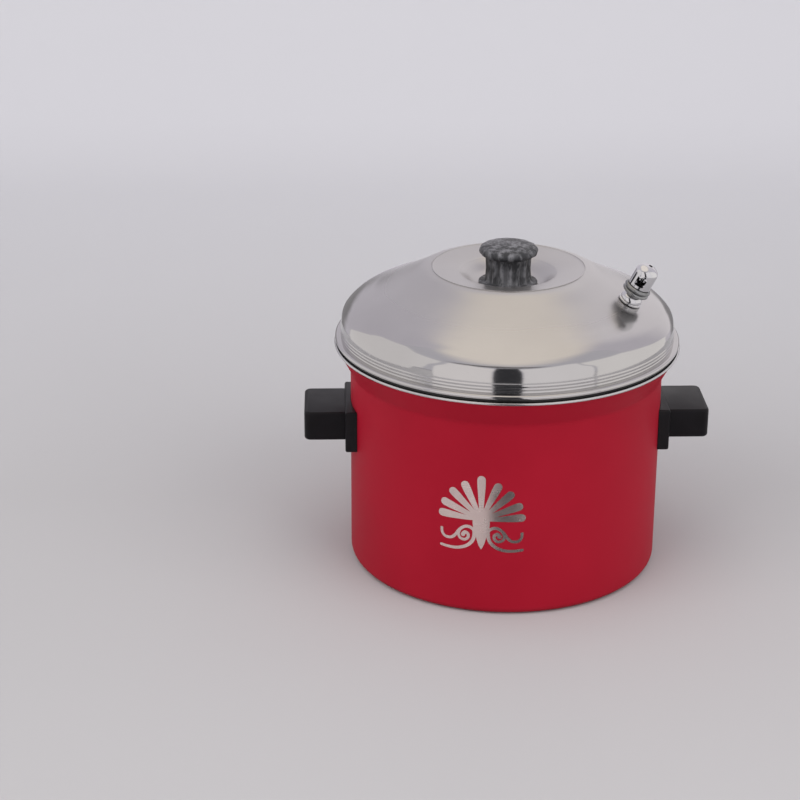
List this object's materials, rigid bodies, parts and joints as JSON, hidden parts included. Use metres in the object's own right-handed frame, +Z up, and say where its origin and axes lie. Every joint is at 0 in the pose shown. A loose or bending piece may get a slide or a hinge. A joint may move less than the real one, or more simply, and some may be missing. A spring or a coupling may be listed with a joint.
{
  "type": "idli steamer",
  "caption": "Flared pot with side handles, domed lid with knob and steam whistle, and a lift-out stand of turning cup plates for steaming rice cakes.",
  "frame": {"origin": "centre of the pot's underside, on the surface it stands on", "axes": "+Z up along the pot's axis, +X along the line of the two side handles, -Y the shown front"},
  "size_m": [0.312, 0.2648, 0.2528],
  "materials": {
    "red_enamel": "gloss coloured coat",
    "polished_steel": "mirror polished",
    "steel": "bright",
    "chrome": "plated",
    "bakelite": "satin moulded",
    "speckled_bakelite": "mottled moulded",
    "silicone": "matt"
  },
  "bodies": {
    "pot": {"pot_shell": "red_enamel", "right_handle": "bakelite", "right_handle_bracket": "steel", "right_handle_screw": "steel", "left_handle": "bakelite", "left_handle_bracket": "steel", "left_handle_screw": "steel"},
    "stand": {"stand_foot": "steel", "stand_rod": "steel", "top_washer": "steel", "spacer_1": "steel", "spacer_2": "steel", "spacer_3": "steel", "spacer_4": "steel", "spacer_5": "steel", "spacer_6": "steel"},
    "wing_nut": {"wing_nut": "steel"},
    "lid": {"lid_shell": "polished_steel", "lid_knob": "speckled_bakelite", "knob_washer": "steel", "knob_screw": "steel", "vent_stem": "chrome", "vent_gasket": "silicone", "vent_nut": "steel"},
    "whistle": {"whistle_collar": "chrome", "whistle_cap": "chrome"},
    "vent_pin": {"vent_pin": "steel"},
    "plate_1": {"idli_plate_1": "steel"},
    "plate_2": {"idli_plate_2": "steel"},
    "plate_3": {"idli_plate_3": "steel"},
    "plate_4": {"idli_plate_4": "steel"},
    "plate_5": {"idli_plate_5": "steel"},
    "plate_6": {"idli_plate_6": "steel"}
  },
  "joints": [
    {"name": "stand_lift", "type": "slide", "parent": "pot", "child": "stand", "axis": [0, 0, 1], "range_m": [0, 0.185]},
    {"name": "lid_lift", "type": "slide", "parent": "stand", "child": "lid", "axis": [0, 0, 1], "range_m": [0, 0.12]},
    {"name": "whistle_pull", "type": "slide", "parent": "lid", "child": "whistle", "axis": [0.4228, -0.1589, 0.8922], "range_m": [0, 0.03]},
    {"name": "vent_pin_rise", "type": "slide", "parent": "lid", "child": "vent_pin", "axis": [0.4228, -0.1589, 0.8922], "range_m": [0, 0.004]},
    {"name": "wing_nut_turn", "type": "hinge", "parent": "stand", "child": "wing_nut", "pos_m": [0, 0, 0.182], "axis": [0, 0, 1], "continuous": true},
    {"name": "plate_1_turn", "type": "hinge", "parent": "stand", "child": "plate_1", "pos_m": [0, 0, 0.034], "axis": [0, 0, 1], "continuous": true},
    {"name": "plate_2_turn", "type": "hinge", "parent": "stand", "child": "plate_2", "pos_m": [0, 0, 0.0618], "axis": [0, 0, 1], "continuous": true},
    {"name": "plate_3_turn", "type": "hinge", "parent": "stand", "child": "plate_3", "pos_m": [0, 0, 0.0896], "axis": [0, 0, 1], "continuous": true},
    {"name": "plate_4_turn", "type": "hinge", "parent": "stand", "child": "plate_4", "pos_m": [0, 0, 0.1174], "axis": [0, 0, 1], "continuous": true},
    {"name": "plate_5_turn", "type": "hinge", "parent": "stand", "child": "plate_5", "pos_m": [0, 0, 0.1452], "axis": [0, 0, 1], "continuous": true},
    {"name": "plate_6_turn", "type": "hinge", "parent": "stand", "child": "plate_6", "pos_m": [0, 0, 0.173], "axis": [0, 0, 1], "continuous": true}
  ]
}
